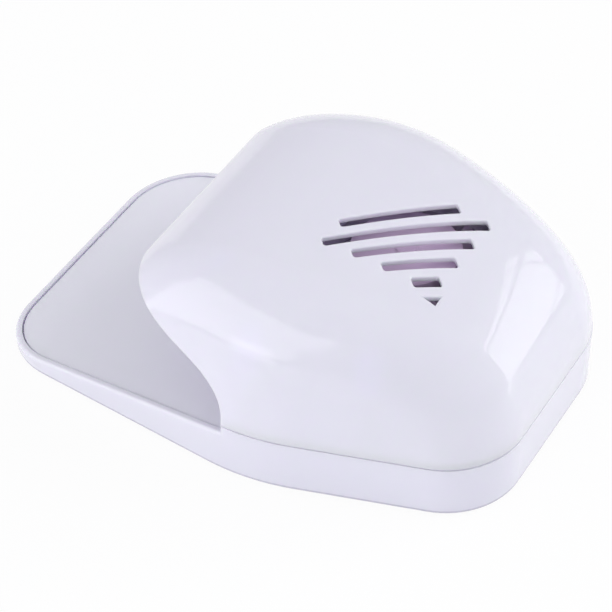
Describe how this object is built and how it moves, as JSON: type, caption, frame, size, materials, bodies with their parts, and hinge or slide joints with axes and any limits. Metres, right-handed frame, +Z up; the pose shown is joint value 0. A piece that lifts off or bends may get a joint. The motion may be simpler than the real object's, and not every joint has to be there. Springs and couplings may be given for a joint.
{
  "type": "nail polish fan dryer",
  "caption": "Small battery nail polish dryer: a domed hood with slanted vents over a sloping press plate on a wedge base.",
  "frame": {"origin": "on the table under the middle of the dryer's length and width", "axes": "+X runs from the open front, where the fingers go in, to the rear; +Z is up"},
  "size_m": [0.1393, 0.0976, 0.0519],
  "materials": {
    "case_gloss": "gloss",
    "plate_satin": "satin",
    "guide_plastic": "fine texture",
    "fan_plastic": "smooth moulded",
    "switch_plastic": "fine texture",
    "plunger_plastic": "smooth moulded",
    "cap_plastic": "smooth moulded",
    "zinc_steel": "zinc plated",
    "spring_steel": "drawn wire",
    "nickel_strip": "nickel plated",
    "motor_steel": "drawn can",
    "bush_brass": "turned",
    "magnet_ferrite": "fired ferrite",
    "armature_copper": "enamelled wire",
    "cell_jacket": "printed film jacket",
    "foot_rubber": "moulded",
    "pad_foam": "open-cell foam",
    "lead_red": "wire insulation",
    "lead_black": "wire insulation"
  },
  "bodies": {
    "case": {"base_shell": "case_gloss", "hood": "case_gloss", "return_springs": "spring_steel", "switch_body": "switch_plastic", "switch_terminals": "nickel_strip", "front_cell": "cell_jacket", "rear_cell": "cell_jacket", "positive_contact": "nickel_strip", "negative_contact": "nickel_strip", "bridge_contact": "nickel_strip", "contact_springs": "spring_steel", "air_guide": "guide_plastic", "motor_end_cap": "cap_plastic", "motor_can": "motor_steel", "motor_bush": "bush_brass", "motor_magnet": "magnet_ferrite", "motor_terminals": "nickel_strip", "case_screws": "zinc_steel", "guide_screws": "zinc_steel", "motor_screws": "zinc_steel", "rubber_feet": "foot_rubber", "lead_battery_switch": "lead_red", "lead_switch_motor": "lead_red", "lead_battery_motor": "lead_black"},
    "press_plate": {"hand_plate": "plate_satin", "pivot_pins": "zinc_steel"},
    "plunger": {"switch_plunger": "plunger_plastic"},
    "rotor": {"fan_impeller": "fan_plastic", "motor_shaft": "zinc_steel", "motor_armature": "armature_copper"},
    "door": {"battery_door": "case_gloss", "door_pad": "pad_foam"}
  },
  "joints": [
    {"name": "plate_press", "type": "hinge", "parent": "case", "child": "press_plate", "pos_m": [-0.054, 0, 0.0031], "axis": [0, 1, 0], "range_deg": [0, 1.5], "stiffness_Nm_per_rad": 3, "springref_deg": -1, "deforming": ["return_springs"]},
    {"name": "plunger_travel", "type": "slide", "parent": "case", "child": "plunger", "axis": [0, 0, -1], "range_m": [0, 0.0018]},
    {"name": "fan_spin", "type": "hinge", "parent": "case", "child": "rotor", "pos_m": [0.0286, 0, 0.038], "axis": [0, 0, 1], "continuous": true},
    {"name": "door_swing", "type": "hinge", "parent": "case", "child": "door", "pos_m": [0.03205, 0, 0.0003], "axis": [0, 1, 0], "range_deg": [0, 85]}
  ],
  "couplings": [
    {"joint": "plunger_travel", "follows": "plate_press", "m_per_rad": 0.068}
  ]
}
